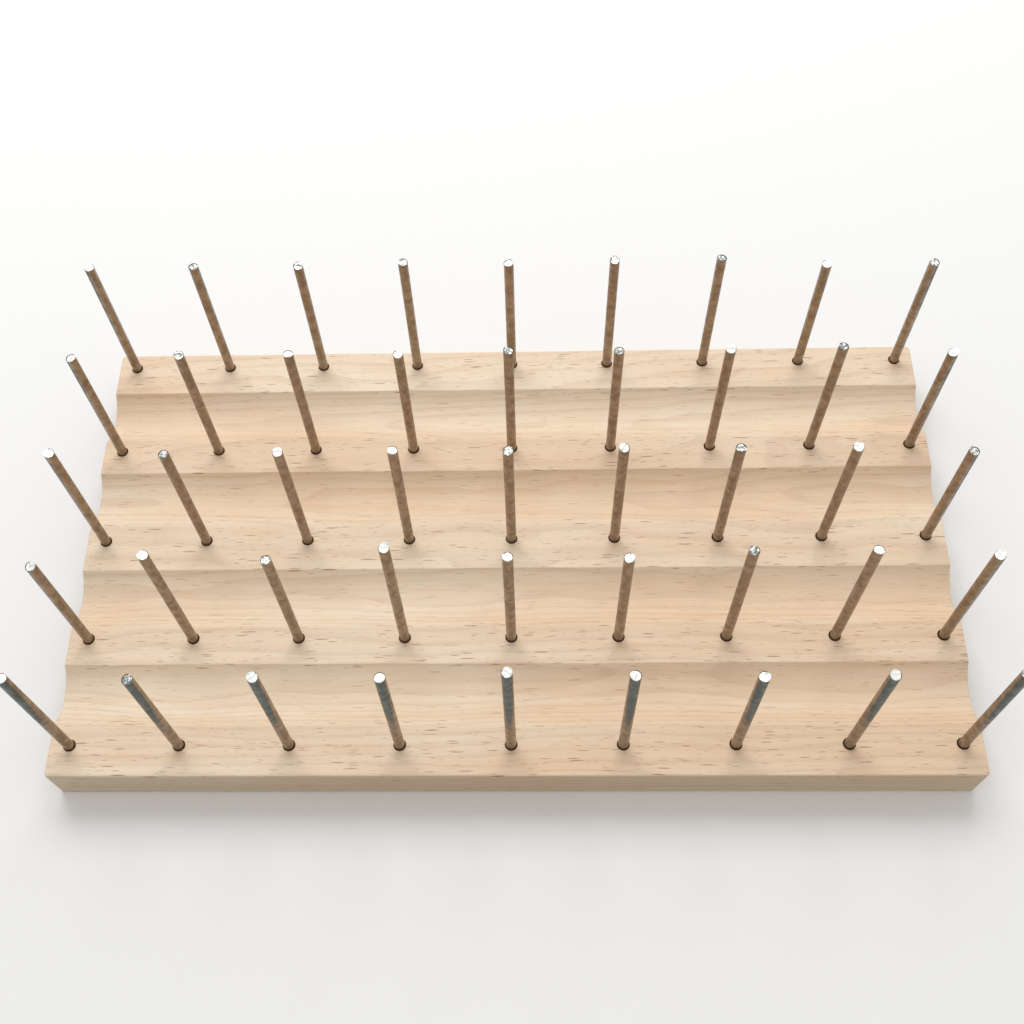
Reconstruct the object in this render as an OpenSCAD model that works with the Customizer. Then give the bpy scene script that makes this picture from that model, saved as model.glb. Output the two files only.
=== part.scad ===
// Yarn holder: a beech board with rows of upright wire pins, one spool, cop or cone of yarn
// to each pin, and a round-bottomed groove between one row of pins and the next.
// Lengths are millimetres. +X runs along the rows, +Y towards the back edge and +Z up.
// The origin is the middle of the board's underside.

/* [Rows of pins] */
// Rows of pins, from the front of the board to its back
row_count = 5; // [2:1:6]
// Pins in each row
pins_in_row = 9; // [2:1:11]
// Distance from one row to the next
row_pitch = 45; // [44:0.5:80]
// Distance from one pin to the next along a row
pin_pitch = 43; // [20:0.5:80]

/* [Board] */
// Thickness of the board at the flat lands that carry the pins
board_h = 20; // [17:0.5:40]
// Wood beyond the first and the last pin of a row
end_margin = 8; // [5:0.5:40]
// Wood in front of the front row
front_margin = 12.5; // [6:0.5:40]
// Wood behind the back row
back_margin = 7.5; // [5:0.5:40]
// Radius that eases the outer edges, top and bottom
edge_r = 0.8; // [0.3:0.1:2.5]
// Radius of the four upright corners
corner_r = 1.5; // [0.5:0.1:4]

/* [Grooves] */
// Width of a groove across its two edges, before they are rounded
groove_w = 24.5; // [18:0.5:26]
// Depth of a groove below the lands
groove_h = 5.8; // [3:0.1:6.5]
// Radius that softens the front lip of a groove
lip_r = 6; // [1:0.5:8]
// Radius that breaks the crisp back edge of a groove
nosing_r = 0.5; // [0.2:0.1:3]
// Flat land in front of the second row, and of every second row after it
narrow_land = 11.3; // [8:0.1:14]
// Flat land in front of the third row, and of every second row after it
wide_land = 13.8; // [8:0.1:14]

/* [Pins] */
// Diameter of the pin wire
pin_d = 4; // [2.5:0.1:5]
// Height of a pin above the board
pin_stand = 70; // [30:1:150]
// Depth to which a pin is driven into the board
pin_seat = 13; // [8:0.5:15]
// How much thinner a pin has been drawn at its foot than along its shaft
foot_draw = 0.3; // [0.1:0.1:1]
// Bevel round the cut end of a pin
tip_bevel = 0.35; // [0.1:0.05:0.8]
// Slope of the sheared face on the cut end, in degrees
shear_slope = 7; // [1:1:15]
// How far the usual cuts stray above and below the standing height
cut_stray = 0.8; // [0:0.1:2]
// How much taller the long pins stand
long_cut = 4; // [0:0.5:10]
// How much taller the longest pin stands
longest_cut = 8; // [0:0.5:15]
// How much lower the short pins stand
short_cut = 4; // [0:0.5:10]

/* [Pin holes] */
// Gap all round between a pin and the mouth of its hole
hole_gap = 0.2; // [0.05:0.05:0.5]
// Bevel round the mouth of a hole
mouth_bevel = 0.3; // [0.1:0.1:0.8]

/* [Hidden] */
$fn = 64;

// Pins that were cut clearly long or short, each as its row and its place in the row
longest_pin = [2, 4];
long_pins = [[1, 5], [2, 2], [2, 7], [2, 8]];
short_pins = [[2, 1], [3, 9], [4, 9], [5, 8], [5, 9]];

board_w = (pins_in_row - 1) * pin_pitch + 2 * end_margin;
board_d = (row_count - 1) * row_pitch + front_margin + back_margin;

pin_r = pin_d / 2;
hole_r = pin_r + hole_gap;

// The cutter's radius, and the height of its middle above the lands, follow from the groove
groove_r = (pow(groove_w / 2, 2) + pow(groove_h, 2)) / (2 * groove_h);
cutter_up = groove_r - groove_h;

// Successive pins turn their sheared faces by the golden angle, so that no two neighbours match
shear_turn = 137.5;
// Cutting tools reach past the wood by this much
over = 1;

function pin_name(row, place) = str("pin_row", row, "_no", place);
function pin_number(row, place) = (row - 1) * pins_in_row + place;
function pin_x(place) = (place - 1) * pin_pitch + end_margin - board_w / 2;
function row_y(row) = (row - 1) * row_pitch + front_margin - board_d / 2;
function land_in_front(row) = row % 2 == 0 ? narrow_land : wide_land;
function groove_y(row) = row_y(row) - land_in_front(row) - groove_w / 2;
function is_among(pin, pins) = len([for (one = pins) if (one == pin) one]) > 0;
function extra_cut(row, place) =
    [row, place] == longest_pin ? longest_cut
    : is_among([row, place], long_pins) ? long_cut
    : is_among([row, place], short_pins) ? -short_cut
    : cut_stray * sin(shear_turn * pin_number(row, place));

// A rectangle about the origin whose corners are rounded
module eased_rectangle(w, d, r) {
    square([w - 2 * r, d], center = true);
    square([w, d - 2 * r], center = true);
    for (x = [-1, 1], y = [-1, 1])
        translate([x * (w / 2 - r), y * (d / 2 - r)]) circle(r);
}

// What rounding the edge on a groove's +X side takes away. The rounding of radius r touches
// both the land and the groove's round wall.
module edge_section(r) {
    away = sqrt(pow(groove_r + r, 2) - pow(cutter_up + r, 2));
    wall_share = groove_r / (groove_r + r);
    difference() {
        polygon([
            [away, 0],
            [away, over],
            [0, over],
            [away * wall_share, cutter_up - (cutter_up + r) * wall_share]
        ]);
        translate([away, -r]) circle(r);
    }
}

// Cross-section of one groove, with its middle at the lands' level on the origin
module groove_section() {
    translate([0, cutter_up]) circle(groove_r);
    edge_section(nosing_r);
    mirror([1, 0]) edge_section(lip_r);
}

// One groove, ploughed through the whole length of the board
module groove(row) {
    translate([-board_w / 2 - over, groove_y(row), board_h])
        rotate([90, 0, 90]) linear_extrude(board_w + 2 * over) groove_section();
}

// One blind hole, with its mouth bevelled
module pin_hole(row, place) {
    translate([pin_x(place), row_y(row), board_h]) {
        translate([0, 0, -pin_seat]) cylinder(r = hole_r, h = pin_seat + over);
        translate([0, 0, -mouth_bevel])
            cylinder(r1 = hole_r, r2 = hole_r + mouth_bevel + over, h = mouth_bevel + over);
    }
}

// The plank before it is grooved and drilled: its plan, its side view and its front view
module plank() {
    intersection() {
        linear_extrude(board_h) eased_rectangle(board_w, board_d, corner_r);
        translate([-board_w / 2, 0, board_h / 2]) rotate([90, 0, 90])
            linear_extrude(board_w) eased_rectangle(board_d, board_h, edge_r);
        translate([0, board_d / 2, board_h / 2]) rotate([90, 0, 0])
            linear_extrude(board_d) eased_rectangle(board_w, board_h, edge_r);
    }
}

module board() {
    color([0.88, 0.77, 0.64]) difference() {
        plank();
        for (row = [2:row_count]) groove(row);
        for (row = [1:row_count], place = [1:pins_in_row]) pin_hole(row, place);
    }
}

// One length of wire, turned about its own axis, with its foot at the origin
module wire(length) {
    rotate_extrude() polygon([
        [0, 0],
        [pin_r - foot_draw, 0],
        [pin_r, pin_seat],
        [pin_r, length - tip_bevel],
        [pin_r - tip_bevel, length],
        [0, length]
    ]);
}

// What the shears take off the end of a pin: everything above a sloping face
module sheared_off(length, turn) {
    translate([0, 0, length]) rotate([shear_slope, 0, turn])
        translate([-pin_d, -pin_d, 0]) cube([2 * pin_d, 2 * pin_d, pin_d]);
}

module pin(row, place) {
    length = pin_seat + pin_stand + extra_cut(row, place);
    // The face slopes through the middle of the end, so its high side stands this much too tall
    high_side = pin_r * tan(shear_slope);
    color([0.56, 0.51, 0.46]) translate([pin_x(place), row_y(row), board_h - pin_seat])
        difference() {
            wire(length);
            sheared_off(length - high_side, shear_turn * pin_number(row, place));
        }
}

board();
for (row = [1:row_count]) for (place = [1:pins_in_row])
    pin(row, place);
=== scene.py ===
"""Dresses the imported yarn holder: one grooved beech board and its rows of sheared wire pins.

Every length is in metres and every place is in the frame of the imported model: +X along the
rows, +Y towards the back edge, +Z up, with the origin in the middle of the board's underside.
"""

import logging
import math
import re
from dataclasses import dataclass, field
from enum import Enum
from functools import partial, reduce
from typing import Optional, Sequence, Union

import bmesh
import bpy
from mathutils import Euler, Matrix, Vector, noise


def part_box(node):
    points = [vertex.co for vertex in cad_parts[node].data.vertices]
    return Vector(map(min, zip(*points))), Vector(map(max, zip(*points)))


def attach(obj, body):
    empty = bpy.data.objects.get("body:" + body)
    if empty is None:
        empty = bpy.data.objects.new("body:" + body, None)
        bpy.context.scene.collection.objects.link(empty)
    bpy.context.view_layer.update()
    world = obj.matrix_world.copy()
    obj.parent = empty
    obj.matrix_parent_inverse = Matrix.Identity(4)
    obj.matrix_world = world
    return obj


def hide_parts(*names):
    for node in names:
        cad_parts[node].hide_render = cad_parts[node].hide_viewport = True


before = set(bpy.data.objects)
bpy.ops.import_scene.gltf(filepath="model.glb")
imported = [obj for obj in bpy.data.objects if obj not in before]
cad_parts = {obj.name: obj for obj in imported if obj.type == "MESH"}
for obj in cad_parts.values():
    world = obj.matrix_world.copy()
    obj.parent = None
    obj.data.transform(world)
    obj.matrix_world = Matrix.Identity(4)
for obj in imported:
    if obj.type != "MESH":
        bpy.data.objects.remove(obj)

MM = 0.001
BODY = "root"
GOLDEN_ANGLE = math.radians(137.5)
WHITE = (1.0, 1.0, 1.0, 1.0)

Colour = tuple[float, float, float, float]
Point = tuple[float, float]
Socket = bpy.types.NodeSocket
Value = Union[Socket, float, int, bool, str, Sequence[float], bpy.types.ID]

log = logging.getLogger("yarn_holder")


def paint(red: int, green: int, blue: int) -> Colour:
    """Turns a colour as a screen shows it into the linear one that nodes take.

    Args:
        red: its red, from 0 to 255.
        green: its green, likewise.
        blue: its blue, likewise.

    Returns:
        The linear colour, opaque.
    """
    shares = [channel / 255 for channel in (red, green, blue)]
    linear = [s / 12.92 if s <= 0.04045 else ((s + 0.055) / 1.055) ** 2.4 for s in shares]
    return (linear[0], linear[1], linear[2], 1.0)


class Cut(Enum):
    """How the saw or the bit went through the beech, which settles how its grain shows."""

    LONG = "long"
    END = "end"
    # The bore's finish also carries painted shade inside the holes.
    BORE = "bore"


class Snip(Enum):
    """What the shears left on the end of a pin. The value is the share of it that is dull."""

    BRIGHT = 0.12
    HALF_DULL = 0.5
    DULL = 0.8


class Graph:
    """A node tree being wired, for geometry and for shading alike."""

    NUMBER_RESULTS = ("LENGTH", "DOT_PRODUCT", "DISTANCE")

    def __init__(self, tree: bpy.types.NodeTree) -> None:
        """Keeps the tree that the nodes are added to."""
        self.tree = tree

    def feed(self, socket: Socket, value: Value) -> None:
        """Links a socket to another one, or sets its own value.

        Args:
            socket: the socket.
            value: the other socket, or the value.
        """
        if isinstance(value, bpy.types.NodeSocket):
            self.tree.links.new(value, socket)
        else:
            socket.default_value = value

    def fill(self, node: bpy.types.Node, inputs: dict) -> None:
        """Feeds several sockets of a node, by their names or places."""
        for key, value in inputs.items():
            self.feed(node.inputs[key], value)

    def add(self, kind: str, inputs: Optional[dict] = None, **settings: object) -> bpy.types.Node:
        """Adds one node.

        Args:
            kind: Blender's own identifier of the node.
            inputs: what goes into its sockets, by their names or places.
            settings: the node's own properties.

        Returns:
            The new node.
        """
        node = self.tree.nodes.new(kind)
        for key, value in settings.items():
            setattr(node, key, value)
        self.fill(node, inputs or {})
        return node

    def output(self, kind: str, inputs: dict, **settings: object) -> Socket:
        """Adds one node and returns the first socket that it puts out."""
        return self.add(kind, inputs, **settings).outputs[0]

    def math(self, operation: str, *terms: Value) -> Socket:
        """Adds a Math node and returns its result."""
        return self.output("ShaderNodeMath", dict(enumerate(terms)), operation=operation)

    def total(self, *terms: Value) -> Socket:
        """Adds up two or more numbers."""
        return reduce(partial(self.math, "ADD"), terms)

    def product(self, *factors: Value) -> Socket:
        """Multiplies two or more numbers."""
        return reduce(partial(self.math, "MULTIPLY"), factors)

    def less(self, first: Value, second: Value) -> Socket:
        """Takes the second number from the first."""
        return self.math("SUBTRACT", first, second)

    def ratio(self, first: Value, second: Value) -> Socket:
        """Divides the first number by the second."""
        return self.math("DIVIDE", first, second)

    def over(self, first: Value, second: Value) -> Socket:
        """Gives 1 where the first number is over the second, and 0 elsewhere."""
        return self.math("GREATER_THAN", first, second)

    def vector(self, operation: str, *terms: Value) -> Socket:
        """Adds a Vector Math node and returns the vector or the number that it works out."""
        node = self.add("ShaderNodeVectorMath", dict(enumerate(terms)), operation=operation)
        return node.outputs["Value" if operation in self.NUMBER_RESULTS else "Vector"]

    def scaled(self, vector: Value, factor: Value) -> Socket:
        """Multiplies a vector by a number."""
        return self.output("ShaderNodeVectorMath", {0: vector, "Scale": factor}, operation="SCALE")

    def axes(self, vector: Value) -> list[Socket]:
        """Splits a vector into its three numbers."""
        return list(self.add("ShaderNodeSeparateXYZ", {0: vector}).outputs)

    def join(self, x: Value, y: Value, z: Value) -> Socket:
        """Makes a vector of three numbers."""
        return self.output("ShaderNodeCombineXYZ", {0: x, 1: y, 2: z})

    def mark(self, shape: Socket, name: str, value: Value, kind: str, domain: str) -> Socket:
        """Stores a value of that kind on the points or the faces of a shape, under a name."""
        inputs = {"Geometry": shape, "Name": name, "Value": value}
        return self.output("GeometryNodeStoreNamedAttribute", inputs, data_type=kind, domain=domain)

    def recall(self, name: str, kind: str) -> Socket:
        """Reads a stored value of that kind by its name."""
        return self.output("GeometryNodeInputNamedAttribute", {"Name": name}, data_type=kind)

    def group(self, tree: bpy.types.NodeTree, inputs: dict) -> bpy.types.NodeOutputs:
        """Uses a shader group and returns the sockets that it puts out."""
        return self.add("ShaderNodeGroup", inputs, node_tree=tree).outputs

    def bump(self, height: Value, strength: float, relief: float) -> Socket:
        """Turns a height from 0 to 1 into a bent normal, for a relief in metres."""
        return self.output("ShaderNodeBump", {"Height": height, "Strength": strength, "Distance": relief})

    def ease(self, value: Value, low: Value, high: Value, start: Value = 0.0,
             end: Value = 1.0) -> Socket:
        """Maps a number smoothly from one range to another, and holds it at both ends.

        Args:
            value: the number.
            low: where the change starts.
            high: where the change ends.
            start: the result up to low.
            end: the result from high on.

        Returns:
            The mapped number.
        """
        inputs = {"Value": value, "From Min": low, "From Max": high, "To Min": start, "To Max": end}
        return self.add("ShaderNodeMapRange", inputs, interpolation_type="SMOOTHSTEP").outputs[0]

    def noise(self, position: Value, scale: Value = 1.0, detail: float = 2.0,
              roughness: float = 0.5) -> Socket:
        """Reads a soft noise between 0 and 1.

        Args:
            position: where to read it.
            scale: features to the unit of the position.
            detail: layers of finer noise on top.
            roughness: how strong these layers are.

        Returns:
            The noise.
        """
        inputs = {"Vector": position, "Scale": scale, "Detail": detail, "Roughness": roughness}
        return self.add("ShaderNodeTexNoise", inputs).outputs[0]

    def blend(self, share: Value, first: Value, second: Value, mode: str = "MIX") -> Socket:
        """Mixes two colours.

        Args:
            share: how much of the second one goes in.
            first: the colour below.
            second: the colour above.
            mode: how they mix.

        Returns:
            The mixed colour.
        """
        inputs = {0: share, 6: first, 7: second}
        node = self.add("ShaderNodeMix", inputs, data_type="RGBA", blend_type=mode)
        return node.outputs[2]


def open_tree(name: str, kind: str, inputs: dict[str, tuple], outputs: dict[str, str]) -> tuple:
    """Starts a node group with named sockets.

    Args:
        name: the group's name.
        kind: ShaderNodeTree or GeometryNodeTree.
        inputs: each input's kind of socket and its default, or None, by its name.
        outputs: each output's kind of socket, by its name.

    Returns:
        The graph, the group's input sockets by name, and its output node.
    """
    tree = bpy.data.node_groups.new(name, kind)
    for label, (socket_kind, default) in inputs.items():
        socket = tree.interface.new_socket(name=label, in_out="INPUT", socket_type=socket_kind)
        if default is not None:
            socket.default_value = default
    for label, socket_kind in outputs.items():
        tree.interface.new_socket(name=label, in_out="OUTPUT", socket_type=socket_kind)
    graph = Graph(tree)
    return graph, graph.add("NodeGroupInput").outputs, graph.add("NodeGroupOutput").inputs


def emptied(owner: Union[bpy.types.Material, bpy.types.World]) -> Graph:
    """Takes the nodes out of a new material or world.

    Args:
        owner: the material or the world.

    Returns:
        Its empty graph.
    """
    owner.use_nodes = True
    owner.node_tree.nodes.clear()
    return Graph(owner.node_tree)


def placed(name: str, data: bpy.types.ID) -> bpy.types.Object:
    """Makes an object and links it to the scene.

    Args:
        name: the object's name.
        data: its mesh, lamp or camera.

    Returns:
        The object.
    """
    thing = bpy.data.objects.new(name, data)
    bpy.context.scene.collection.objects.link(thing)
    return thing


NUMBER, VECTOR, COLOUR = "NodeSocketFloat", "NodeSocketVector", "NodeSocketColor"
WHOLE, SHAPE, STUFF = "NodeSocketInt", "NodeSocketGeometry", "NodeSocketMaterial"


class BeechGrain:
    """The figure of plain-sawn beech, as one shader group that works in millimetres."""

    RING_GAP = 2.6
    RING_WOBBLE = 3.2
    LATE_WOOD = (0.45, 0.95)
    PITH = (0.0, 34.0, -128.0)
    PITH_DRIFT = (0.0, 0.035, 0.02)
    WANDER = (0.0, 5.0, 3.0)
    # How long each part of the figure is along the grain, and how wide across it
    WANDER_SIZE = (95.0, 60.0)
    WOBBLE_SIZE = (90.0, 22.0)
    TONE_SIZE = (260.0, 30.0)
    STREAK_SIZE = (110.0, 2.6)
    FIBRE_SIZE = (14.0, 0.42)
    # Each size of fleck: its cell's length and width, its reach in the cell and its strength
    FLECKS = ((15.0, 1.15, 0.26, 0.95), (10.0, 0.8, 0.25, 0.8), (6.0, 0.6, 0.24, 0.55))
    FLECK_DEPTH = 2.4
    # How far each part tints the wood
    RING_TINT, STREAK_TINT, FIBRE_TINT, FLECK_TINT = 0.2, 0.26, 0.24, 0.8

    def __init__(self) -> None:
        """Builds the group."""
        inputs = {
            "Position": (VECTOR, None),
            "Pale": (COLOUR, paint(240, 219, 193)),
            "Warm": (COLOUR, paint(226, 196, 164)),
            "Fleck": (COLOUR, paint(168, 122, 92)),
            "Fleck Share": (NUMBER, 1.0),
            "Ring Share": (NUMBER, 1.0),
        }
        outputs = {"Color": COLOUR, "Height": NUMBER, "Roughness": NUMBER}
        self.graph, self.given, self.result = open_tree("beech_grain", "ShaderNodeTree", inputs, outputs)
        self.position = self.given["Position"]
        self.position = self.drifted()
        flecks = self.graph.math("MINIMUM", self.flecks(), 1.0)
        self.mix(self.tone(), self.streaks(), self.fibres(), self.rings(), flecks)
        self.tree = self.graph.tree

    def drifted(self) -> Socket:
        """Lets the grain wander a little from side to side along the plank.

        Returns:
            The position at which the figure is read.
        """
        inputs = {"Vector": self.stretched(*self.WANDER_SIZE), "Scale": 1.0, "Detail": 1.0}
        wander = self.graph.add("ShaderNodeTexNoise", inputs).outputs["Color"]
        offset = self.graph.vector("MULTIPLY", wander, self.WANDER)
        return self.graph.vector("ADD", self.position, offset)

    def stretched(self, along: float, across: float, depth: Optional[float] = None) -> Socket:
        """Scales the position so that a feature is that many millimetres long, wide and deep."""
        shares = (1 / along, 1 / across, 1 / (depth or across))
        return self.graph.vector("MULTIPLY", self.position, shares)

    def tone(self) -> Socket:
        """Broad bands of paler and warmer wood."""
        broad = self.graph.noise(self.stretched(*self.TONE_SIZE), 1.0, 3.0, 0.55)
        return self.graph.ease(broad, 0.34, 0.66)

    def streaks(self) -> Socket:
        """Long thin streaks, a millimetre or two wide."""
        return self.graph.noise(self.stretched(*self.STREAK_SIZE), 1.0, 4.0, 0.6)

    def fibres(self) -> Socket:
        """The finest lengthwise lines."""
        return self.graph.noise(self.stretched(*self.FIBRE_SIZE), 1.0, 3.0, 0.6)

    def rings(self) -> Socket:
        """Growth rings about a pith that lies under the plank and drifts along it.

        Returns:
            How much late wood there is at a point.
        """
        graph = self.graph
        drift = graph.scaled(self.PITH_DRIFT, graph.axes(self.position)[0])
        from_pith = graph.vector("SUBTRACT", self.position, graph.vector("ADD", drift, self.PITH))
        flat = graph.vector("MULTIPLY", from_pith, (0.0, 1.0, 1.0))
        wobble = graph.product(graph.noise(self.stretched(*self.WOBBLE_SIZE), 1.0, 2.0), self.RING_WOBBLE)
        radius = graph.ratio(graph.vector("LENGTH", flat), self.RING_GAP)
        turn = graph.math("FRACT", graph.total(radius, wobble))
        start, peak = self.LATE_WOOD
        return graph.less(graph.ease(turn, start, peak), graph.ease(turn, peak, 1.0))

    def flecks(self) -> Socket:
        """The short dark spindles that the rays leave, in three sizes."""
        return self.graph.total(*[self.spindles(*size) for size in self.FLECKS])

    def spindles(self, length: float, width: float, reach: float, strength: float) -> Socket:
        """One size of fleck, one in each cell of a stretched pattern.

        Args:
            length: the cell's length along the grain.
            width: the cell's width across it.
            reach: how far a fleck reaches from the middle of its cell, in cells.
            strength: how dark the darkest one is.

        Returns:
            How much fleck there is at a point.
        """
        graph = self.graph
        position = self.stretched(length, width, width * self.FLECK_DEPTH)
        cells = graph.add("ShaderNodeTexVoronoi", {"Vector": position, "Scale": 1.0, "Randomness": 1.0})
        chance = graph.axes(cells.outputs["Color"])
        own_reach = graph.math("MULTIPLY_ADD", chance[0], reach * 0.6, reach * 0.5)
        solid_reach = graph.product(own_reach, 0.45)
        core = graph.ease(cells.outputs["Distance"], solid_reach, own_reach, 1.0, 0.0)
        return graph.product(core, graph.ease(chance[1], 0.05, 0.6), strength)

    def mix(self, tone: Socket, streak: Socket, fibre: Socket, rings: Socket, flecks: Socket) -> None:
        """Lays the parts of the figure over each other.

        Args:
            tone: the broad bands.
            streak: the long streaks.
            fibre: the fine lines.
            rings: the late wood of the rings.
            flecks: the ray flecks.
        """
        graph, given = self.graph, self.given
        ground = graph.blend(tone, given["Pale"], given["Warm"])
        ring_share = graph.product(rings, given["Ring Share"], self.RING_TINT)
        ringed = graph.blend(ring_share, ground, graph.blend(0.6, given["Warm"], given["Fleck"]))
        streak_share = graph.ease(streak, 0.42, 0.72, 0.0, self.STREAK_TINT)
        streaked = graph.blend(streak_share, ringed, given["Warm"], "MULTIPLY")
        fibre_share = graph.ease(fibre, 0.4, 0.75, 0.0, self.FIBRE_TINT)
        combed = graph.blend(fibre_share, streaked, given["Warm"], "MULTIPLY")
        fleck_share = graph.product(flecks, given["Fleck Share"], self.FLECK_TINT)
        graph.feed(self.result["Color"], graph.blend(fleck_share, combed, given["Fleck"]))
        hollow = graph.product(flecks, given["Fleck Share"], -0.5)
        height = graph.total(hollow, graph.product(fibre, 0.5), graph.product(streak, 0.3))
        graph.feed(self.result["Height"], height)
        roughness = graph.total(0.5, graph.product(fibre, 0.12), graph.product(fleck_share, 0.2))
        graph.feed(self.result["Roughness"], roughness)


class Mottle:
    """Blotches, drawn lines and pits of a worn surface, as one shader group in millimetres."""

    PITS_PER_MM = 1.1

    def __init__(self) -> None:
        """Builds the group."""
        inputs = {
            "Position": (VECTOR, None),
            "Blotch Size": (NUMBER, 2.0),
            "Line Length": (NUMBER, 12.0),
            "Line Width": (NUMBER, 0.25),
        }
        outputs = {"Blotches": NUMBER, "Lines": NUMBER, "Pits": NUMBER}
        graph, given, result = open_tree("mottle", "ShaderNodeTree", inputs, outputs)
        self.tree = graph.tree
        scale = graph.ratio(1.0, given["Blotch Size"])
        blotches = graph.noise(given["Position"], scale, 5.0, 0.62)
        graph.feed(result["Blotches"], graph.ease(blotches, 0.36, 0.66))
        across = graph.ratio(1.0, given["Line Width"])
        along = graph.ratio(1.0, given["Line Length"])
        drawn = graph.vector("MULTIPLY", given["Position"], graph.join(across, across, along))
        graph.feed(result["Lines"], graph.noise(drawn, 1.0, 3.0, 0.6))
        inputs = {"Vector": given["Position"], "Scale": self.PITS_PER_MM}
        pits = graph.add("ShaderNodeTexVoronoi", inputs)
        deep = graph.ease(pits.outputs["Distance"], 0.08, 0.34, 1.0, 0.0)
        rare = graph.ease(graph.axes(pits.outputs["Color"])[0], 0.62, 0.8)
        graph.feed(result["Pits"], graph.product(deep, rare))


@dataclass(frozen=True)
class Finish:
    """What every finish of the holder has: a name and a way to start its material."""

    name: str

    def start(self) -> tuple[Graph, bpy.types.Node, bpy.types.Material]:
        """Makes an empty material with its shader.

        Returns:
            The material's graph, its shader and the material.
        """
        material = bpy.data.materials.new(self.name)
        graph = emptied(material)
        shader = graph.add("ShaderNodeBsdfPrincipled")
        graph.add("ShaderNodeOutputMaterial", {"Surface": shader.outputs[0]})
        return graph, shader, material

    @staticmethod
    def millimetres(graph: Graph) -> Socket:
        """Gives the place on the piece in millimetres."""
        place = graph.add("ShaderNodeTexCoord").outputs["Object"]
        return graph.output("ShaderNodeMapping", {"Vector": place, "Scale": (1 / MM,) * 3})

    @staticmethod
    def attribute(graph: Graph, name: str) -> Socket:
        """Reads a number that the geometry carries."""
        return graph.add("ShaderNodeAttribute", attribute_name=name).outputs["Fac"]


@dataclass(frozen=True)
class BareBeech(Finish):
    """Planed and sanded beech with nothing on it. Its fleck fade is measured below the lands."""

    cut: Cut
    pale: Colour
    warm: Colour
    fleck: Colour
    fleck_share: float = 1.0
    ring_share: float = 1.0
    land_height: float = 20.0
    fleck_fade: tuple[float, float] = (2.2, 0.6)
    handled_size: float = 55.0
    handled_share: float = 0.1
    relief: float = 0.00012

    def material(self, grain: bpy.types.NodeTree, mottle: bpy.types.NodeTree) -> bpy.types.Material:
        """Makes the material.

        Args:
            grain: the beech's figure.
            mottle: the soft blotches that handling leaves.

        Returns:
            The material.
        """
        graph, shader, material = self.start()
        place = self.millimetres(graph)
        flecks = self.fleck_share
        if self.cut is Cut.LONG:
            low, high = (self.land_height - fade for fade in self.fleck_fade)
            flecks = graph.product(graph.ease(graph.axes(place)[2], low, high, 0.5, 1.0), flecks)
        figure = graph.group(grain, {
            "Position": place, "Pale": self.pale, "Warm": self.warm, "Fleck": self.fleck,
            "Fleck Share": flecks, "Ring Share": self.ring_share})
        touched = graph.group(mottle, {"Position": place, "Blotch Size": self.handled_size})
        handled = graph.product(touched["Blotches"], self.handled_share)
        graph.fill(shader, {
            "Base Color": graph.blend(handled, figure["Color"], self.warm, "MULTIPLY"),
            "Roughness": figure["Roughness"],
            "Specular IOR Level": 0.35,
            "Normal": graph.bump(figure["Height"], 0.6, self.relief),
        })
        return material


@dataclass(frozen=True)
class DrawnWire(Finish):
    """Drawn steel wire, brown partly from oxide and partly as a painted reflection of the beech, with a
    painted reflection of grey surroundings where it stands out past the board.
    """

    # The browns are partly oxide and partly a painted reflection of the beech below.
    brown: Colour
    dark_brown: Colour
    rust: Colour
    reflected_grey: Colour
    dark_reflected_grey: Colour
    blotch_size: float = 3.2
    metallic: float = 0.85
    relief: float = 0.00005

    def material(self, mottle: bpy.types.NodeTree) -> bpy.types.Material:
        """Makes the material.

        Args:
            mottle: the metal's blotches and drawn lines.

        Returns:
            The material.
        """
        graph, shader, material = self.start()
        skin = graph.group(mottle, {"Position": self.millimetres(graph), "Blotch Size": self.blotch_size})
        blotches, lines, pits = skin["Blotches"], skin["Lines"], skin["Pits"]
        # Brown, partly oxide and partly a painted reflection of the beech.
        brown = graph.blend(blotches, self.brown, self.dark_brown)
        worn = graph.blend(graph.ease(lines, 0.55, 0.8, 0.0, 0.5), brown, self.rust)
        # Painted reflection: grey surroundings mirrored on the sides of the wire that look out past the
        # board, mixed in by the painted reflection share.
        reflected_grey = graph.blend(blotches, self.reflected_grey, self.dark_reflected_grey)
        with_reflection = graph.blend(self.attribute(graph, "painted_reflection"), worn, reflected_grey)
        height = graph.less(graph.product(lines, 0.6), graph.product(pits, 0.8))
        graph.fill(shader, {
            "Base Color": graph.blend(graph.product(pits, 0.7), with_reflection, self.dark_brown),
            "Roughness": graph.total(0.34, graph.product(blotches, 0.12), graph.product(pits, 0.2)),
            "Metallic": self.metallic,
            "Normal": graph.bump(height, 0.5, self.relief),
        })
        return material


@dataclass(frozen=True)
class ShearedSteel(Finish):
    """The bright face that the shears leave, with its smeared and dull parts."""

    bright: Colour
    smeared: Colour
    dull: Colour
    blotch_size: float = 1.1
    line_length: float = 0.5
    line_width: float = 0.3
    relief: float = 0.00009

    def material(self, mottle: bpy.types.NodeTree) -> bpy.types.Material:
        """Makes the material.

        Args:
            mottle: the metal's blotches and drawn lines.

        Returns:
            The material.
        """
        graph, shader, material = self.start()
        skin = graph.group(mottle, {
            "Position": self.millimetres(graph), "Blotch Size": self.blotch_size,
            "Line Length": self.line_length, "Line Width": self.line_width})
        blotches, lines = skin["Blotches"], skin["Lines"]
        uneven = graph.product(graph.less(blotches, 0.5), 0.9)
        worn = graph.total(self.attribute(graph, "tarnish"), uneven)
        face = graph.blend(graph.ease(worn, 0.3, 0.8), self.bright, self.dull)
        height = graph.total(graph.product(lines, 0.7), blotches)
        graph.fill(shader, {
            "Base Color": graph.blend(graph.ease(lines, 0.5, 0.7, 0.0, 0.6), face, self.smeared),
            "Roughness": graph.math("MULTIPLY_ADD", blotches, 0.2, 0.28),
            "Metallic": 1.0,
            "Normal": graph.bump(height, 0.7, self.relief),
        })
        return material


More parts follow.
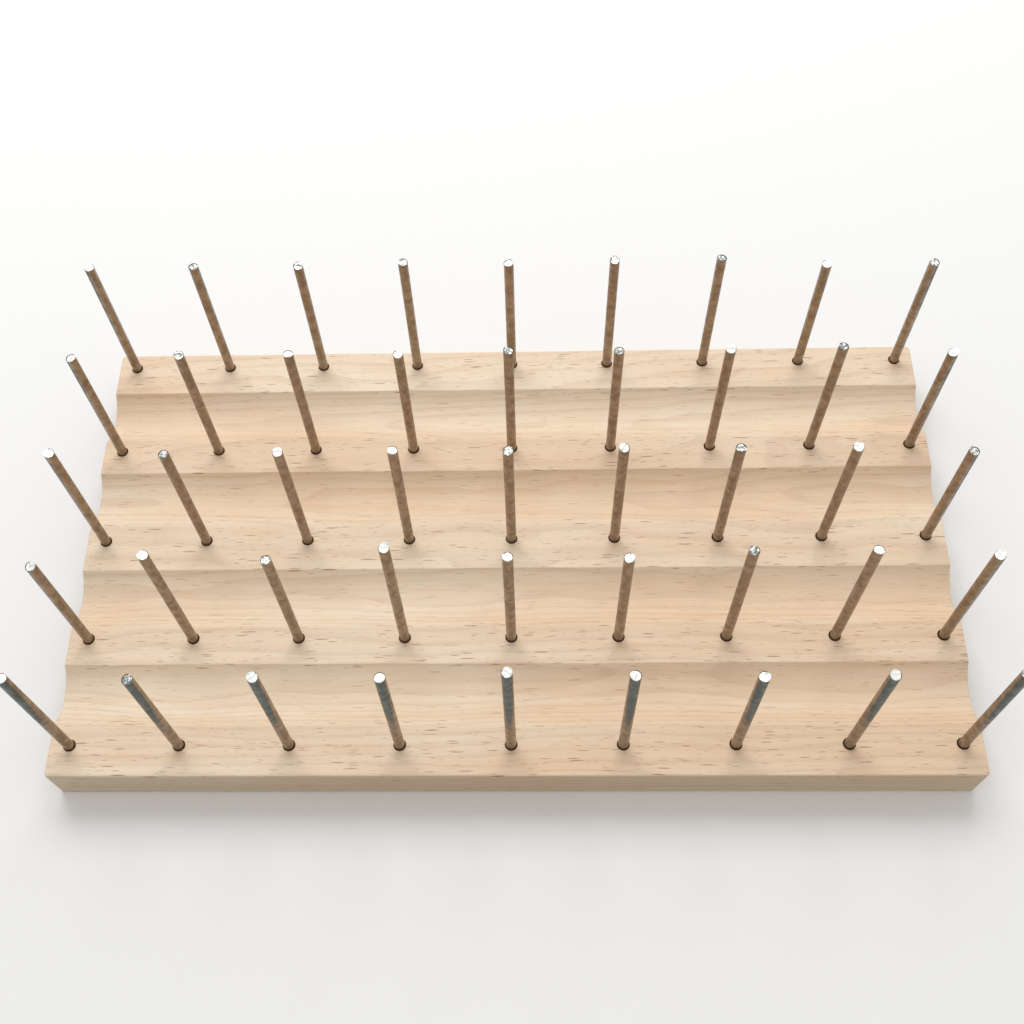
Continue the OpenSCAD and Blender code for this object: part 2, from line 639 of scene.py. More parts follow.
def set_input(modifier: bpy.types.Modifier, name: str, value: Value) -> None:
    """Sets one input of a Geometry Nodes modifier, by its socket's identifier.

    Args:
        modifier: the modifier.
        name: the input's name in the tree.
        value: what it is set to.
    """
    sockets = modifier.node_group.interface.items_tree
    socket = next(s for s in sockets if s.name == name and s.in_out == "INPUT")
    modifier[socket.identifier] = value


def grown(name: str, mesh: bpy.types.Mesh, tree: bpy.types.NodeTree, values: dict) -> bpy.types.Object:
    """Runs a Geometry Nodes tree on a mesh and keeps the result as a plain object.

    Args:
        name: the new piece's name.
        mesh: the mesh that the tree starts from, which is used up.
        tree: the tree.
        values: the tree's inputs by name.

    Returns:
        The piece, linked to the scene, with no modifier left on it.
    """
    piece = placed(name, mesh)
    modifier = piece.modifiers.new("grow", "NODES")
    modifier.node_group = tree
    for label, value in values.items():
        set_input(modifier, label, value)
    graph = bpy.context.evaluated_depsgraph_get()
    settled = piece.evaluated_get(graph)
    made = bpy.data.meshes.new_from_object(settled, preserve_all_data_layers=True, depsgraph=graph)
    piece.modifiers.remove(modifier)
    piece.data = made
    bpy.data.meshes.remove(mesh)
    made.name = name
    return piece


def arc(centre: Point, radius: float, start: float, end: float, steps: int) -> list[Point]:
    """Points on an arc of the board's section.

    Args:
        centre: its middle, as y and z.
        radius: its radius. A negative one bends the other way, as a hollow does.
        start: where it starts, as an angle from straight up, positive towards the back.
        end: where it ends, likewise.
        steps: how many steps it takes.

    Returns:
        The points, with both ends.
    """
    angles = [start + (end - start) * step / steps for step in range(steps + 1)]
    return [(centre[0] + radius * math.sin(a), centre[1] + radius * math.cos(a)) for a in angles]


def run(start: Point, end: Point, longest: float, margin: float = 0.4 * MM) -> list[Point]:
    """Points inside a straight stretch, with one close to each end that keeps the shading crisp.

    Args:
        start: where the stretch starts, which isn't repeated.
        end: where it ends, which isn't repeated.
        longest: the longest step.
        margin: how far the first and the last point are from the ends.

    Returns:
        The points between the two ends.
    """
    first, last = Vector(start), Vector(end)
    length = (last - first).length
    steps = max(1, math.ceil((length - 2 * margin) / longest))
    shares = [(margin + (length - 2 * margin) * step / steps) / length for step in range(steps + 1)]
    return [tuple(first.lerp(last, share)) for share in shares]


@dataclass
class Board:
    """The beech plank with its ploughed grooves and drilled rows of holes."""

    node: str = "board"
    groove_width: float = 24.5 * MM
    groove_depth: float = 5.8 * MM
    lip_radius: float = 6.0 * MM
    nosing_radius: float = 0.5 * MM
    narrow_land: float = 11.3 * MM
    wide_land: float = 13.8 * MM
    edge_radius: float = 0.8 * MM
    corner_radius: float = 1.5 * MM
    end_easing: float = 0.45 * MM
    step_along: float = 4.5 * MM
    step_across: float = 3.5 * MM
    nosing_stray: float = 0.28 * MM
    hole_radius: float = 2.2 * MM
    hole_depth: float = 13.0 * MM
    mouth_bevel: float = 0.3 * MM
    bit_sides: int = 40
    lip_steps: int = 10
    hollow_steps: int = 34
    round_steps: int = 6
    end_steps: int = 8
    corner_reach: float = 6 * MM
    nosing_reach: float = 2.5 * MM
    nosing_waves: tuple[float, float] = (0.032, 0.009)
    end_facing: float = 0.9
    sharp_angle: float = math.radians(32)
    low: Vector = field(init=False)
    high: Vector = field(init=False)

    def __post_init__(self) -> None:
        """Takes the plank's outer sizes from the frame."""
        self.low, self.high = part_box(self.node)

    @property
    def groove_radius(self) -> float:
        """Radius of the round cutter that ploughs the grooves."""
        half = self.groove_width / 2
        return (half ** 2 + self.groove_depth ** 2) / (2 * self.groove_depth)

    def groove_middles(self, rows: Sequence[float]) -> list[float]:
        """Where the grooves run, one in front of each row but the first.

        Args:
            rows: the rows' places from front to back.

        Returns:
            The places of the grooves' middles.
        """
        lands = [self.narrow_land if number % 2 else self.wide_land for number in range(len(rows))]
        return [y - land - self.groove_width / 2 for y, land in zip(rows, lands)][1:]

    def rounding(self, edge: float) -> tuple[float, float]:
        """Fits the rounding of a groove's edge between the land and the hollow.

        Args:
            edge: the rounding's radius.

        Returns:
            How far its middle is from the groove's, and the angle that it turns through.
        """
        radius = self.groove_radius
        up = radius - self.groove_depth
        away = math.sqrt((radius + edge) ** 2 - (up + edge) ** 2)
        return away, math.asin(away / (radius + edge))

    def groove_section(self, middle: float) -> list[Point]:
        """The section of one groove from its soft front lip to its crisp back edge.

        Args:
            middle: where the groove's middle is.

        Returns:
            The section's points.
        """
        top, radius = self.high.z, self.groove_radius
        front_away, front_turn = self.rounding(self.lip_radius)
        back_away, back_turn = self.rounding(self.nosing_radius)
        lip_middle = (middle - front_away, top - self.lip_radius)
        lip = arc(lip_middle, self.lip_radius, 0, front_turn, self.lip_steps)
        hollow_middle = (middle, top + (radius - self.groove_depth))
        hollow = arc(hollow_middle, -radius, front_turn, -back_turn, self.hollow_steps)
        nosing_middle = (middle + back_away, top - self.nosing_radius)
        nosing = arc(nosing_middle, self.nosing_radius, -back_turn, 0, self.round_steps)
        return lip + hollow[1:-1] + nosing

    def section(self, rows: Sequence[float]) -> list[Point]:
        """The whole outline of the plank's section, once round.

        Args:
            rows: the rows' places from front to back.

        Returns:
            The outline's points, from the front edge over the top to the back and underneath.
        """
        front, back, base, top = self.low.y, self.high.y, self.low.z, self.high.z
        edge, quarter = self.edge_radius, math.pi / 2
        corners = ((front + edge, top - edge, -quarter), (back - edge, top - edge, 0.0),
                   (back - edge, base + edge, quarter), (front + edge, base + edge, math.pi))
        arcs = [arc((y, z), edge, turn, turn + quarter, self.round_steps) for y, z, turn in corners]
        grooves = [self.groove_section(middle) for middle in self.groove_middles(rows)]
        outline = list(arcs[0])
        for groove in grooves + [arcs[1]]:
            outline += run(outline[-1], groove[0], self.step_across) + groove
        for corner in arcs[2:]:
            outline += run(outline[-1], corner[0], self.step_across * 2) + corner
        return outline + run(outline[-1], outline[0], self.step_across * 2)

    def stations(self) -> list[float]:
        """Places along the plank at which its section is drawn, closer together at both ends.

        Returns:
            The places from end to end.
        """
        reach = self.high.x
        turns = [math.pi / 2 * step / self.end_steps for step in range(self.end_steps + 1)]
        end = [reach - self.corner_radius * (1 - math.sin(turn)) for turn in turns]
        count = math.ceil(2 * end[0] / self.step_along)
        between = [-end[0] + 2 * end[0] * step / count for step in range(1, count)]
        return [-x for x in reversed(end)] + between + end

    def strayed(self, x: float, point: Point, crisp_edges: Sequence[float]) -> Point:
        """Lets the crisp back edges of the grooves wander as a hand-fed plough leaves them.

        Args:
            x: the station along the plank.
            point: a point of the section.
            crisp_edges: where the crisp edges are.

        Returns:
            The moved point.
        """
        y, z = point
        if z < self.high.z - self.groove_depth - MM:
            return point
        slow, quick = self.nosing_waves
        for number, edge in enumerate(crisp_edges):
            near = math.exp(-((y - edge) / self.nosing_reach) ** 2)
            wave = noise.noise(Vector((x / slow, number * 7.3, 0.5)))
            wave += 0.4 * noise.noise(Vector((x / quick, number * 7.3, 4.5)))
            y += near * wave * self.nosing_stray
        return y, z

    def drop(self, x: float, radius: float) -> float:
        """How far a rounding of that radius at the plank's end draws a station in."""
        past = max(0.0, abs(x) - (self.high.x - radius))
        return radius - math.sqrt(max(0.0, radius ** 2 - past ** 2))

    def shrunk(self, x: float, loop: list[Point]) -> list[Point]:
        """Draws the section in where the plank's ends are eased and its corners rounded.

        Args:
            x: the station along the plank.
            loop: the section's outline.

        Returns:
            The outline at that station.
        """
        easing, corner = self.drop(x, self.end_easing), self.drop(x, self.corner_radius)
        flat_from = self.high.y - self.corner_reach
        result = []
        for place, (y, z) in enumerate(loop):
            before, after = Vector(loop[place - 1]), Vector(loop[(place + 1) % len(loop)])
            along = (after - before).normalized()
            y, z = y + along.y * easing, z - along.x * easing
            share = min(1.0, max(0.0, (abs(y) - flat_from) / self.corner_reach))
            result.append((y - math.copysign(corner * share ** 2, y), z))
        return result

    def plank(self, rows: Sequence[float]) -> bpy.types.Mesh:
        """Sweeps the section along the plank.

        Args:
            rows: the rows' places from front to back.

        Returns:
            The plank's mesh, before it is drilled.
        """
        outline = self.section(rows)
        crisp = [middle + self.groove_width / 2 for middle in self.groove_middles(rows)]
        shell = bmesh.new()
        loops = []
        for x in self.stations():
            loop = self.shrunk(x, [self.strayed(x, point, crisp) for point in outline])
            loops.append([shell.verts.new((x, y, z)) for y, z in loop])
        for near, far in zip(loops, loops[1:]):
            for place in range(len(near)):
                shell.faces.new((near[place - 1], near[place], far[place], far[place - 1]))
        ends = [shell.faces.new(loops[0]), shell.faces.new(loops[-1])]
        for end in ends:
            end.normal_update()
        bmesh.ops.triangulate(shell, faces=ends)
        bmesh.ops.recalc_face_normals(shell, faces=shell.faces)
        mesh = bpy.data.meshes.new("plank")
        shell.to_mesh(mesh)
        shell.free()
        return mesh

    def drill(self) -> bpy.types.NodeTree:
        """Makes the tree that drills a grid of blind holes with bevelled mouths into a plank.

        Returns:
            The tree.
        """
        inputs = {
            "Plank": (SHAPE, None),
            "Places": (WHOLE, 9),
            "Rows": (WHOLE, 5),
            "Length of Row": (NUMBER, 0.344),
            "First to Last Row": (NUMBER, 0.18),
            "Middle": (VECTOR, None),
            "Hole Radius": (NUMBER, self.hole_radius),
            "Hole Depth": (NUMBER, self.hole_depth),
            "Mouth Bevel": (NUMBER, self.mouth_bevel),
            "Face": (STUFF, None),
            "End": (STUFF, None),
            "Bore": (STUFF, None),
        }
        graph, given, result = open_tree("drilled_plank", "GeometryNodeTree", inputs, {"Board": SHAPE})
        points = graph.output("GeometryNodeMeshGrid", {
            "Size X": given["Length of Row"], "Size Y": given["First to Last Row"],
            "Vertices X": given["Places"], "Vertices Y": given["Rows"]})
        grid = graph.output("GeometryNodeTransform", {"Geometry": points, "Translation": given["Middle"]})
        bits = graph.output("GeometryNodeInstanceOnPoints", {
            "Points": grid, "Instance": self.bit(graph, given)})
        solid = graph.output("GeometryNodeRealizeInstances", {0: bits})
        drilled = graph.output("GeometryNodeMeshBoolean", {"Mesh 1": given["Plank"], "Mesh 2": solid},
                               operation="DIFFERENCE", solver="EXACT")
        facing = graph.axes(graph.output("GeometryNodeInputNormal", {}))[0]
        on_end = graph.over(graph.math("ABSOLUTE", facing), self.end_facing)
        bored = graph.recall("bored", "FLOAT")
        on_end_only = graph.over(graph.less(on_end, bored), 0.5)
        whole = graph.output("GeometryNodeRealizeInstances", {0: drilled})
        for stuff, chosen in (("Face", True), ("End", on_end_only), ("Bore", graph.over(bored, 0.5))):
            whole = graph.output("GeometryNodeSetMaterial", {
                "Geometry": whole, "Selection": chosen, "Material": given[stuff]})
        graph.feed(result["Board"], whole)
        return graph.tree

    def bit(self, graph: Graph, given: bpy.types.NodeOutputs) -> Socket:
        """Adds the shape that one hole takes out: a straight bore that flares at its mouth.

        Args:
            graph: the drilling tree.
            given: the tree's inputs.

        Returns:
            The shape, with the wood's surface at its origin's height.
        """
        straight = graph.less(given["Hole Depth"], given["Mouth Bevel"])
        bore = graph.add("GeometryNodeMeshCylinder", {
            "Vertices": self.bit_sides, "Radius": given["Hole Radius"], "Depth": straight},
            fill_type="NGON")
        middle = graph.product(graph.total(given["Hole Depth"], given["Mouth Bevel"]), -0.5)
        sunk = graph.output("GeometryNodeTransform", {
            "Geometry": bore.outputs["Mesh"], "Translation": graph.join(0.0, 0.0, middle)})
        rise = graph.product(given["Mouth Bevel"], 2.0)
        flare = graph.add("GeometryNodeExtrudeMesh", {
            "Mesh": sunk, "Selection": bore.outputs["Top"], "Offset Scale": rise, "Individual": False},
            mode="FACES")
        growth = graph.total(1.0, graph.ratio(rise, given["Hole Radius"]))
        wide = graph.output("GeometryNodeScaleElements", {
            "Geometry": flare.outputs["Mesh"], "Selection": flare.outputs["Top"], "Scale": growth},
            domain="FACE")
        return graph.mark(wide, "bored", 1.0, "FLOAT", "FACE")

    def build(self, rows: Sequence[float], places: Sequence[float],
              dress: dict[Cut, bpy.types.Material]) -> bpy.types.Object:
        """Builds the board and hands it to the frame.

        Args:
            rows: the rows' places from front to back.
            places: the pins' places along a row.
            dress: the material for each kind of cut.

        Returns:
            The board.
        """
        middle = ((places[0] + places[-1]) / 2, (rows[0] + rows[-1]) / 2, self.high.z)
        piece = grown("beech_board", self.plank(rows), self.drill(), {
            "Places": len(places), "Rows": len(rows), "Length of Row": places[-1] - places[0],
            "First to Last Row": rows[-1] - rows[0], "Middle": middle,
            "Hole Radius": self.hole_radius, "Hole Depth": self.hole_depth,
            "Mouth Bevel": self.mouth_bevel, "Face": dress[Cut.LONG], "End": dress[Cut.END],
            "Bore": dress[Cut.BORE]})
        piece.data.shade_smooth()
        piece.data.set_sharp_from_angle(angle=self.sharp_angle)
        hand_over(piece, self.node)
        return piece


def hand_over(piece: bpy.types.Object, node: str) -> None:
    """Puts a finished piece on the holder's body, in place of its node.

    Args:
        piece: the piece.
        node: the node that it stands for.
    """
    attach(piece, BODY)
    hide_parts(node)
    log.info("%s: %d faces", piece.name, len(piece.data.polygons))


@dataclass
class Pin:
    """One length of wire, seen from the frame: its node, its number and its box."""

    row: int
    place: int
    pins_in_row: int

    @property
    def node(self) -> str:
        """The node that holds this pin."""
        return f"pin_row{self.row}_no{self.place}"

    @property
    def number(self) -> int:
        """The pin's number, counted along the rows from the front left."""
        return (self.row - 1) * self.pins_in_row + self.place

    @property
    def foot(self) -> Vector:
        """The middle of the pin's foot."""
        low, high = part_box(self.node)
        return Vector(((low.x + high.x) / 2, (low.y + high.y) / 2, low.z))

    @property
    def length(self) -> float:
        """The pin's whole length."""
        low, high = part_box(self.node)
        return high.z - low.z


@dataclass
class Wires:
    """The pins: straight lengths of drawn wire, sheared off by eye."""

    board: Board
    radius: float = 2.0 * MM
    foot_draw: float = 0.3 * MM
    tip_bevel: float = 0.35 * MM
    shear_slope: float = math.radians(7)
    shear_reach: float = 2.4 * MM
    roughness: float = 0.16 * MM
    step: float = 0.3 * MM
    burr: float = 0.22 * MM
    wobble: float = 0.035 * MM
    sides: int = 36
    rings: int = 32
    cap_segments: int = 9
    ring_crowding: float = 1.8
    end_margin: float = 0.01 * MM
    coarse_tears: float = 0.75
    fine_tears: float = 2.4
    # How the painted reflection of grey surroundings grows with height and with distance past the board's
    # edge
    reflection_slope: float = 0.55
    reflection_start: float = -2.0 * MM
    reflection_end: float = 7.0 * MM
    seed_step: float = 3.7
    sharp_angle: float = math.radians(50)
    dull: tuple = ((1, 2), (2, 7), (3, 2), (3, 7), (4, 5), (4, 6), (4, 8), (5, 2), (5, 7))
    half_dull: tuple = ((1, 9), (2, 3), (3, 5), (3, 9), (4, 2), (5, 3), (5, 4), (5, 6), (5, 9))
    pins: list[Pin] = field(init=False)

    def __post_init__(self) -> None:
        """Finds the pins in the frame."""
        found = [re.fullmatch(r"pin_row(\d+)_no(\d+)", name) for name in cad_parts]
        spots = sorted((int(m[1]), int(m[2])) for m in found if m)
        longest_row = max(place for _, place in spots)
        self.pins = [Pin(row, place, longest_row) for row, place in spots]

    def rows(self) -> list[float]:
        """The rows' places from front to back."""
        return [pin.foot.y for pin in self.pins if pin.place == 1]

    def places(self) -> list[float]:
        """The pins' places along the first row."""
        return [pin.foot.x for pin in self.pins if pin.row == 1]

    def snip(self, pin: Pin) -> Snip:
        """How bright the shears left one pin's end."""
        spot = (pin.row, pin.place)
        return Snip.DULL if spot in self.dull else Snip.HALF_DULL if spot in self.half_dull else Snip.BRIGHT

    def tree(self) -> bpy.types.NodeTree:
        """Makes the tree that grows one sheared length of wire.

        Returns:
            The tree.
        """
        numbers = {"Radius": self.radius, "Length": 0.083, "Seat": self.board.hole_depth,
                   "Foot Draw": self.foot_draw, "Tip Bevel": self.tip_bevel,
                   "Shear Slope": self.shear_slope, "Shear Reach": self.shear_reach, "Turn": 0.0,
                   "Roughness": self.roughness, "Step": self.step, "Burr": self.burr,
                   "Wobble": self.wobble, "Tarnish": 0.0, "Seed": 0.0,
                   "Room in Front": 0.02, "Room Behind": 0.02, "Room Left": 0.02, "Room Right": 0.02}
        inputs = {"Blank": (SHAPE, None), "Sides": (WHOLE, self.sides), "Rings": (WHOLE, self.rings),
                  "Foot": (VECTOR, None), "Shaft": (STUFF, None), "Face": (STUFF, None)}
        inputs.update({name: (NUMBER, value) for name, value in numbers.items()})
        graph, given, result = open_tree("sheared_wire", "GeometryNodeTree", inputs, {"Wire": SHAPE})
        blank = graph.add("GeometryNodeMeshCylinder", {
            "Vertices": given["Sides"], "Side Segments": given["Rings"],
            "Fill Segments": self.cap_segments, "Radius": given["Radius"], "Depth": given["Length"]},
            fill_type="TRIANGLE_FAN")
        raised = graph.join(0.0, 0.0, graph.product(given["Length"], 0.5))
        shape = graph.output("GeometryNodeTransform", {
            "Geometry": blank.outputs["Mesh"], "Translation": raised})
        place, painted_reflection = self.shaped(graph, given)
        # The share of painted reflection of grey surroundings, which the shaft's finish reads
        shape = graph.mark(shape, "painted_reflection", painted_reflection, "FLOAT", "POINT")
        shape = graph.mark(shape, "tarnish", given["Tarnish"], "FLOAT", "POINT")
        shape = graph.mark(shape, "cut_face", blank.outputs["Top"], "BOOLEAN", "FACE")
        moved = graph.output("GeometryNodeSetPosition", {"Geometry": shape, "Position": place})
        whole = graph.output("GeometryNodeRealizeInstances", {0: moved})
        shaft = graph.output("GeometryNodeSetMaterial", {"Geometry": whole, "Material": given["Shaft"]})
        wire = graph.output("GeometryNodeSetMaterial", {
            "Geometry": shaft, "Selection": graph.recall("cut_face", "BOOLEAN"),
            "Material": given["Face"]})
        graph.feed(result["Wire"], wire)
        return graph.tree

    def shaped(self, graph: Graph, given: bpy.types.NodeOutputs) -> tuple[Socket, Socket]:
        """Works out where each point of the blank goes, and how much painted reflection of grey
        surroundings it gets.

        Args:
            graph: the wire's tree.
            given: the tree's inputs.

        Returns:
            The point's place, and its share of painted reflection, from how far it looks out past the
            board.
        """
        x, y, z = graph.axes(graph.output("GeometryNodeInputPosition", {}))
        radius, length = given["Radius"], given["Length"]
        flat = graph.join(x, y, 0.0)
        way = graph.vector("NORMALIZE", flat)
        way_x, way_y, _ = graph.axes(way)
        on_top = graph.over(z, graph.less(length, self.end_margin))
        on_cap = graph.math("MAXIMUM", on_top, graph.math("LESS_THAN", z, self.end_margin))
        spread = graph.math("SQRT", graph.ratio(graph.vector("LENGTH", flat), radius))
        reach = graph.product(radius, graph.total(graph.product(spread, on_cap), graph.less(1.0, on_cap)))

        down = graph.less(1.0, graph.ratio(z, length))
        below = graph.product(length, graph.math("POWER", down, self.ring_crowding))
        level = graph.less(length, below)

        shear_x = graph.product(graph.math("SINE", given["Turn"]), -1.0)
        shear_y = graph.math("COSINE", given["Turn"])
        uphill = graph.total(graph.product(way_x, shear_x), graph.product(way_y, shear_y))
        steep = graph.math("TANGENT", given["Shear Slope"])
        near_end = graph.ease(below, given["Shear Reach"], 0.0)
        sheared = graph.product(near_end, steep, graph.less(graph.product(uphill, reach), radius))
        relief = self.relief(graph, given, on_top, way, spread, uphill, reach)

        driven = graph.math("MINIMUM", graph.ratio(level, given["Seat"]), 1.0)
        drawn = graph.product(given["Foot Draw"], graph.less(1.0, driven))
        along = graph.join(graph.product(way_x, 1.3), graph.product(way_y, 1.3), graph.product(level, 90.0))
        own = graph.join(given["Seed"], 0.0, given["Seed"])
        uneven = graph.noise(graph.vector("ADD", along, own), 1.0, 2.0)
        wobble = graph.product(graph.less(uneven, 0.5), given["Wobble"])
        bulk = graph.total(graph.less(reach, drawn), graph.product(wobble, spread))
        height = graph.total(level, sheared, *relief)
        local = graph.join(graph.product(way_x, bulk), graph.product(way_y, bulk), height)
        place = graph.vector("ADD", local, given["Foot"])
        return place, self.painted_reflection(graph, given, way_x, way_y, level)

    def relief(self, graph: Graph, given: bpy.types.NodeOutputs, on_top: Socket, way: Socket,
               spread: Socket, uphill: Socket, reach: Socket) -> list[Socket]:
        """Works out how the cut end departs from its plain slope.

        Args:
            graph: the wire's tree.
            given: the tree's inputs.
            on_top: 1 on the cut end, and 0 elsewhere.
            way: which way a point lies from the wire's middle.
            spread: how far out it lies, as a share of the radius.
            uphill: how far it lies towards the slope's high side, from -1 to 1.
            reach: how far out it lies, as a length.

        Returns:
            The heights of the torn metal, the shears' step, the rolled edge and the burr.
        """
        own = graph.join(given["Seed"], graph.product(given["Seed"], 0.37), 0.0)
        seeded = graph.vector("ADD", graph.scaled(way, graph.ratio(reach, MM)), own)
        coarse = graph.less(graph.noise(seeded, self.coarse_tears, 2.0, 0.6), 0.5)
        fine = graph.less(graph.noise(seeded, self.fine_tears, 2.0, 0.6), 0.5)
        tears = graph.total(graph.product(coarse, 2.2), graph.product(fine, 0.7))
        torn = graph.product(on_top, given["Roughness"], tears)

        climb = graph.ratio(graph.product(uphill, reach), given["Radius"])
        ledge = graph.ease(graph.total(climb, graph.product(coarse, 1.2)), -0.05, 0.3)
        stepped = graph.product(on_top, given["Step"], graph.less(ledge, 1.0))

        bevel = given["Tip Bevel"]
        past = graph.ratio(graph.less(reach, graph.less(given["Radius"], bevel)), bevel)
        inner = graph.math("MAXIMUM", past, 0.0)
        under = graph.math("MAXIMUM", graph.less(1.0, graph.product(inner, inner)), 0.0)
        fall = graph.less(1.0, graph.math("SQRT", under))
        softness = graph.math("MULTIPLY_ADD", uphill, -0.45, 0.75)
        rolled = graph.product(on_top, fall, bevel, softness, -1.0)

        crest = graph.product(graph.ease(spread, 0.72, 0.9), graph.ease(spread, 1.0, 0.93),
                              graph.ease(uphill, 0.1, 1.0))
        ragged = graph.total(graph.product(fine, 2.0), 1.0)
        burr = graph.product(on_top, given["Burr"], crest, ragged)
        return [torn, stepped, rolled, burr]

    def painted_reflection(self, graph: Graph, given: bpy.types.NodeOutputs, way_x: Socket, way_y: Socket,
                level: Socket) -> Socket:
        """Works out how far a side of the wire looks out past the edge of the board.

        Args:
            graph: the wire's tree.
            given: the tree's inputs.
            way_x: which way that side faces, along the rows.
            way_y: which way it faces, towards the back.
            level: how high it is above the wire's foot.

        Returns:
            The share of painted reflection, from 0, over the board, to 1, well past its edge.
        """
        along = self.room(graph, way_x, given["Room Right"], given["Room Left"])
        across = self.room(graph, way_y, given["Room Behind"], given["Room in Front"])
        run_out = graph.product(graph.less(level, given["Seat"]), self.reflection_slope)
        past_edge = graph.less(run_out, graph.math("MINIMUM", along, across))
        return graph.ease(past_edge, self.reflection_start, self.reflection_end)

    @staticmethod
    def room(graph: Graph, way: Socket, ahead: Socket, behind: Socket) -> Socket:
        """Works out how far the board goes on along one axis, the way that a side faces.

        Args:
            graph: the wire's tree.
            way: which way the side faces along the axis, from -1 to 1.
            ahead: the wood beyond the pin on the axis's positive side.
            behind: the wood beyond it on the other side.

        Returns:
            The distance to the board's edge.
        """
        forward = graph.over(way, 0.0)
        near = graph.total(graph.product(forward, ahead), graph.product(graph.less(1.0, forward), behind))
        return graph.ratio(near, graph.math("MAXIMUM", graph.math("ABSOLUTE", way), 0.02))

    def build(self, shaft: bpy.types.Material, face: bpy.types.Material) -> list[bpy.types.Object]:
        """Builds every pin and hands it to the frame.

        Args:
            shaft: the finish of the drawn wire.
            face: the finish of its sheared end.

        Returns:
            The pins.
        """
        tree = self.tree()
        low, high = self.board.low, self.board.high
        made = []
        for pin in self.pins:
            foot = pin.foot
            name = f"wire_row{pin.row}_no{pin.place}"
            piece = grown(name, bpy.data.meshes.new("blank"), tree, {
                "Length": pin.length, "Foot": tuple(foot), "Turn": GOLDEN_ANGLE * pin.number,
                "Seed": self.seed_step * pin.number, "Tarnish": self.snip(pin).value,
                "Shaft": shaft, "Face": face,
                "Room in Front": foot.y - low.y, "Room Behind": high.y - foot.y,
                "Room Left": foot.x - low.x, "Room Right": high.x - foot.x})
            piece.data.shade_smooth()
            piece.data.set_sharp_from_angle(angle=self.sharp_angle)
            hand_over(piece, pin.node)
            made.append(piece)
        return made


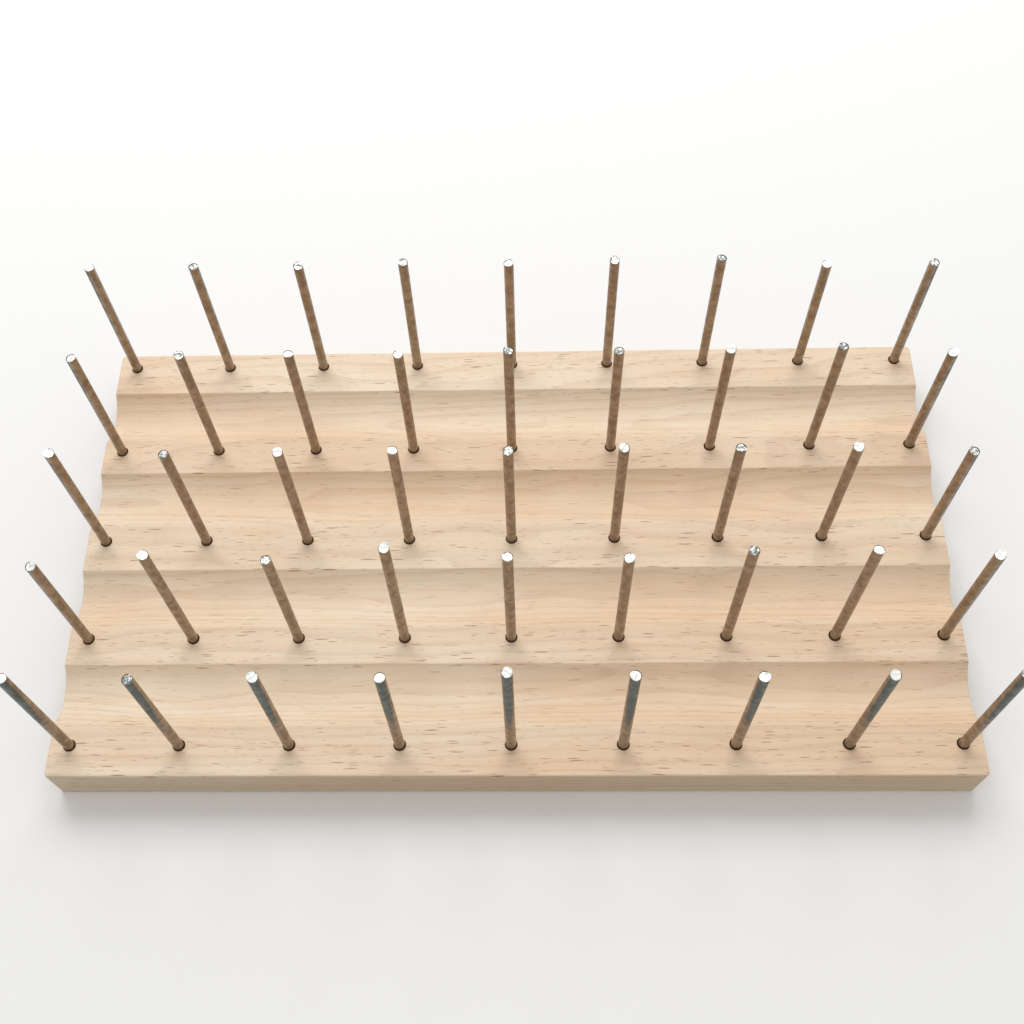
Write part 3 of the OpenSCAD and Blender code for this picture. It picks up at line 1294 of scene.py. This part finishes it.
@dataclass
class Studio:
    """The plain pale floor, the soft light and the camera."""

    eye: tuple[float, float, float] = (9.23 * MM, -241.56 * MM, 474.29 * MM)
    tilt: float = math.radians(28.658)
    roll: float = math.radians(1.838)
    pan: float = math.radians(0.488)
    picture: float = 1024.0
    focal_pixels: float = 1227.92
    middle_pixel: tuple[float, float] = (493.90, 529.92)
    sensor: float = 36.0
    key_place: tuple[float, float, float] = (-0.15, 1.05, 1.4)
    key_size: tuple[float, float] = (1.6, 1.0)
    key_power: float = 17.0
    sky: float = 0.55
    sky_tint: Colour = (1.0, 0.99, 0.97, 1.0)
    floor_tint: Colour = paint(150, 152, 146)
    floor_size: float = 8.0
    floor_drop: float = 0.05 * MM

    def camera(self) -> None:
        """Sets the camera up where the photograph was taken from."""
        data = bpy.data.cameras.new("camera")
        data.sensor_width = self.sensor
        data.lens = self.focal_pixels / self.picture * self.sensor
        data.shift_x = 0.5 - self.middle_pixel[0] / self.picture
        data.shift_y = self.middle_pixel[1] / self.picture - 0.5
        data.clip_start = 10 * MM
        camera = placed("camera", data)
        camera.location = self.eye
        camera.rotation_euler = Euler((self.tilt, self.roll, self.pan), "XYZ")
        bpy.context.scene.camera = camera

    def light(self) -> None:
        """Hangs one wide soft lamp above and behind the board."""
        data = bpy.data.lights.new("key", "AREA")
        data.shape = "RECTANGLE"
        data.size, data.size_y = self.key_size
        data.energy = self.key_power
        lamp = placed("key", data)
        lamp.location = self.key_place
        lamp.rotation_euler = (-Vector(self.key_place)).to_track_quat("-Z", "Y").to_euler()

    @staticmethod
    def shows(graph: Graph) -> Socket:
        """Tells the rays that show the background from those that light the object.

        Args:
            graph: the graph that asks.

        Returns:
            1 for a ray that shows, and 0 for one that lights.
        """
        path = graph.add("ShaderNodeLightPath").outputs
        kinds = [path[f"Is {kind} Ray"] for kind in ("Camera", "Glossy", "Transmission")]
        return reduce(partial(graph.math, "MAXIMUM"), kinds)

    def world(self) -> None:
        """Lights the scene evenly from all round, before a white background."""
        world = bpy.data.worlds.new("studio")
        graph = emptied(world)
        white = graph.output("ShaderNodeBackground", {"Color": WHITE, "Strength": 1.0})
        soft = graph.output("ShaderNodeBackground", {"Color": self.sky_tint, "Strength": self.sky})
        mixed = graph.output("ShaderNodeMixShader", {0: self.shows(graph), 1: soft, 2: white})
        graph.add("ShaderNodeOutputWorld", {"Surface": mixed})
        bpy.context.scene.world = world

    def floor(self) -> None:
        """Lays the floor, which looks white but throws back only a little light."""
        half = self.floor_size / 2
        corners = ((-half, -half), (half, -half), (half, half), (-half, half))
        mesh = bpy.data.meshes.new("floor")
        mesh.from_pydata([(x, y, -self.floor_drop) for x, y in corners], [], [(0, 1, 2, 3)])
        material = bpy.data.materials.new("floor")
        graph = emptied(material)
        colour = graph.blend(self.shows(graph), self.floor_tint, WHITE)
        matt = graph.output("ShaderNodeBsdfDiffuse", {"Color": colour})
        graph.add("ShaderNodeOutputMaterial", {"Surface": matt})
        mesh.materials.append(material)
        floor = placed("floor", mesh)

    def build(self) -> None:
        """Sets up the whole studio."""
        self.camera()
        self.light()
        self.world()
        self.floor()
        bpy.context.scene.view_settings.view_transform = "Standard"


def beech(grain: bpy.types.NodeTree, mottle: bpy.types.NodeTree) -> dict[Cut, bpy.types.Material]:
    """Makes the beech as each kind of cut shows it.

    Args:
        grain: the beech's figure.
        mottle: the soft blotches that handling leaves.

    Returns:
        The material for each kind of cut.
    """
    long_grain = BareBeech("beech_long_grain", Cut.LONG, pale=paint(250, 233, 209),
                           warm=paint(243, 218, 189), fleck=paint(166, 118, 86))
    end_grain = BareBeech("beech_end_grain", Cut.END, pale=paint(214, 184, 152),
                          warm=paint(198, 164, 130), fleck=paint(150, 108, 78),
                          fleck_share=0.5, ring_share=1.6)
    # The bore is much darker than the end grain: partly the drilled grain and partly painted shade inside
    # the holes and their bevelled mouths.
    bore = BareBeech("beech_bore", Cut.BORE, pale=paint(150, 112, 80), warm=paint(128, 92, 62),
                     fleck=paint(92, 62, 42), fleck_share=0.6)
    return {finish.cut: finish.material(grain, mottle) for finish in (long_grain, end_grain, bore)}


def main() -> None:
    """Builds the studio, the board and the pins in order."""
    logging.basicConfig(level=logging.INFO, format="%(name)s %(message)s")
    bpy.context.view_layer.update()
    Studio().build()
    mottle = Mottle().tree
    board = Board()
    wires = Wires(board)
    board.build(wires.rows(), wires.places(), beech(BeechGrain().tree, mottle))
    # The greys on the shaft are a painted reflection of the surroundings past the board.
    shaft = DrawnWire("drawn_wire", brown=paint(166, 148, 128), dark_brown=paint(138, 119, 100),
                      rust=paint(150, 124, 102), reflected_grey=paint(106, 112, 108),
                      dark_reflected_grey=paint(84, 90, 88))
    face = ShearedSteel("sheared_steel", bright=paint(236, 236, 230), smeared=paint(190, 192, 188),
                        dull=paint(118, 122, 118))
    made = wires.build(shaft.material(mottle), face.material(mottle))
    log.info("%d pins", len(made))


if __name__ == "__main__":
    main()
